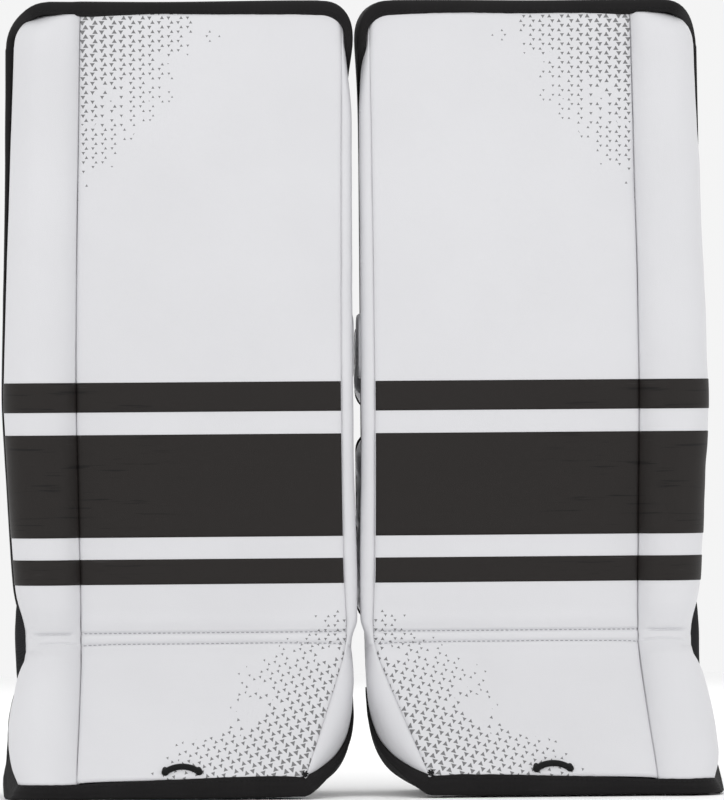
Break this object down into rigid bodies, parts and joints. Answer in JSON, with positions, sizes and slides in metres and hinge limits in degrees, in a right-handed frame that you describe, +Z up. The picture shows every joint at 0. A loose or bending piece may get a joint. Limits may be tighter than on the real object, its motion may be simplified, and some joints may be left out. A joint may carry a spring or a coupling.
{
  "type": "goalie leg pads",
  "caption": "Pair of mirrored ice hockey goalie leg pads: flat face, outer roll, flexing boot, padded leg channel, hook-and-loop straps and toe lace.",
  "frame": {"origin": "floor level at the middle of the pair, left to right and front to back", "axes": "+X towards the viewer's right-hand pad, the pads' faces look along -Y, +Z up"},
  "size_m": [0.5496, 0.2236, 0.615],
  "materials": {
    "white_leather": "white synthetic leather, satin",
    "black_leather": "black synthetic leather, satin",
    "binding": "folded black binding tape",
    "nylon": "heavy black woven nylon",
    "liner": "grey brushed knit liner",
    "loop": "black loop fabric",
    "webbing": "black woven strap",
    "lace": "black braided lace",
    "foam": "closed-cell foam core",
    "board": "polyethylene stiffener board",
    "bridge": "moulded black plastic",
    "buckle": "moulded black acetal"
  },
  "bodies": {
    "left_shin": {"left_shin_core": "foam", "left_shin_stiffener": "board", "left_face_cover": "white_leather", "left_inner_gusset": "white_leather", "left_outer_roll": "white_leather", "left_edge_binding": "binding", "left_stripe_panels": "black_leather", "left_break_seam": "white_leather", "left_back_panel": "nylon", "left_knee_block": "white_leather", "left_knee_cradle": "liner", "left_shin_cradle": "liner", "left_calf_bolster": "white_leather", "left_thigh_pad": "liner", "left_landing_patches": "loop"},
    "left_boot": {"left_boot_core": "foam", "left_boot_cover": "white_leather", "left_boot_roll": "white_leather", "left_boot_gusset": "white_leather", "left_toe_rim": "binding", "left_boot_wings": "nylon", "left_boot_buckle": "buckle", "left_toe_lace": "lace"},
    "left_knee_wing": {"left_knee_wing": "white_leather"},
    "left_calf_wing": {"left_calf_wing": "white_leather"},
    "left_knee_strap": {"left_knee_strap": "webbing"},
    "left_calf_strap": {"left_calf_strap": "webbing"},
    "left_toe_bridge": {"left_toe_bridge": "bridge"},
    "left_boot_strap": {"left_boot_strap": "webbing", "left_boot_clip": "buckle"},
    "right_shin": {"right_shin_core": "foam", "right_shin_stiffener": "board", "right_face_cover": "white_leather", "right_inner_gusset": "white_leather", "right_outer_roll": "white_leather", "right_edge_binding": "binding", "right_stripe_panels": "black_leather", "right_break_seam": "white_leather", "right_back_panel": "nylon", "right_knee_block": "white_leather", "right_knee_cradle": "liner", "right_shin_cradle": "liner", "right_calf_bolster": "white_leather", "right_thigh_pad": "liner", "right_landing_patches": "loop"},
    "right_boot": {"right_boot_core": "foam", "right_boot_cover": "white_leather", "right_boot_roll": "white_leather", "right_boot_gusset": "white_leather", "right_toe_rim": "binding", "right_boot_wings": "nylon", "right_boot_buckle": "buckle", "right_toe_lace": "lace"},
    "right_knee_wing": {"right_knee_wing": "white_leather"},
    "right_calf_wing": {"right_calf_wing": "white_leather"},
    "right_knee_strap": {"right_knee_strap": "webbing"},
    "right_calf_strap": {"right_calf_strap": "webbing"},
    "right_toe_bridge": {"right_toe_bridge": "bridge"},
    "right_boot_strap": {"right_boot_strap": "webbing", "right_boot_clip": "buckle"}
  },
  "joints": [
    {"name": "left_boot_flex", "type": "hinge", "parent": "left_shin", "child": "left_boot", "pos_m": [-0.116, -0.03099, 0.1225], "axis": [1, 0, 0], "range_deg": [-12, 10], "stiffness_Nm_per_rad": 30},
    {"name": "left_knee_wing_open", "type": "hinge", "parent": "left_shin", "child": "left_knee_wing", "pos_m": [-0.25, 0.03031, 0.345], "axis": [0, 0, 1], "range_deg": [0, 70]},
    {"name": "left_knee_strap_open", "type": "hinge", "parent": "left_knee_wing", "child": "left_knee_strap", "pos_m": [-0.23664, 0.09902, 0.33], "axis": [0, 0, 1], "range_deg": [0, 90]},
    {"name": "left_calf_wing_open", "type": "hinge", "parent": "left_shin", "child": "left_calf_wing", "pos_m": [-0.25, 0.03031, 0.209], "axis": [0, 0, 1], "range_deg": [0, 70]},
    {"name": "left_calf_strap_open", "type": "hinge", "parent": "left_calf_wing", "child": "left_calf_strap", "pos_m": [-0.23664, 0.09902, 0.208], "axis": [0, 0, 1], "range_deg": [0, 90]},
    {"name": "left_boot_strap_release", "type": "slide", "parent": "left_boot", "child": "left_boot_strap", "axis": [-1, 0, 0], "range_m": [0, 0.025]},
    {"name": "left_toe_bridge_swing", "type": "hinge", "parent": "left_boot", "child": "left_toe_bridge", "pos_m": [-0.143, -0.02799, 0.043], "axis": [1, 0, 0], "range_deg": [-30, 30]},
    {"name": "pads_apart", "type": "slide", "parent": "left_shin", "child": "right_shin", "axis": [1, 0, 0], "range_m": [0, 0.35]},
    {"name": "right_boot_flex", "type": "hinge", "parent": "right_shin", "child": "right_boot", "pos_m": [0.116, -0.03099, 0.1225], "axis": [1, 0, 0], "range_deg": [-12, 10], "stiffness_Nm_per_rad": 30},
    {"name": "right_knee_wing_open", "type": "hinge", "parent": "right_shin", "child": "right_knee_wing", "pos_m": [0.25, 0.03031, 0.345], "axis": [0, 0, -1], "range_deg": [0, 70]},
    {"name": "right_knee_strap_open", "type": "hinge", "parent": "right_knee_wing", "child": "right_knee_strap", "pos_m": [0.23664, 0.09902, 0.33], "axis": [0, 0, -1], "range_deg": [0, 90]},
    {"name": "right_calf_wing_open", "type": "hinge", "parent": "right_shin", "child": "right_calf_wing", "pos_m": [0.25, 0.03031, 0.209], "axis": [0, 0, -1], "range_deg": [0, 70]},
    {"name": "right_calf_strap_open", "type": "hinge", "parent": "right_calf_wing", "child": "right_calf_strap", "pos_m": [0.23664, 0.09902, 0.208], "axis": [0, 0, -1], "range_deg": [0, 90]},
    {"name": "right_boot_strap_release", "type": "slide", "parent": "right_boot", "child": "right_boot_strap", "axis": [1, 0, 0], "range_m": [0, 0.025]},
    {"name": "right_toe_bridge_swing", "type": "hinge", "parent": "right_boot", "child": "right_toe_bridge", "pos_m": [0.143, -0.02799, 0.043], "axis": [1, 0, 0], "range_deg": [-30, 30]}
  ]
}
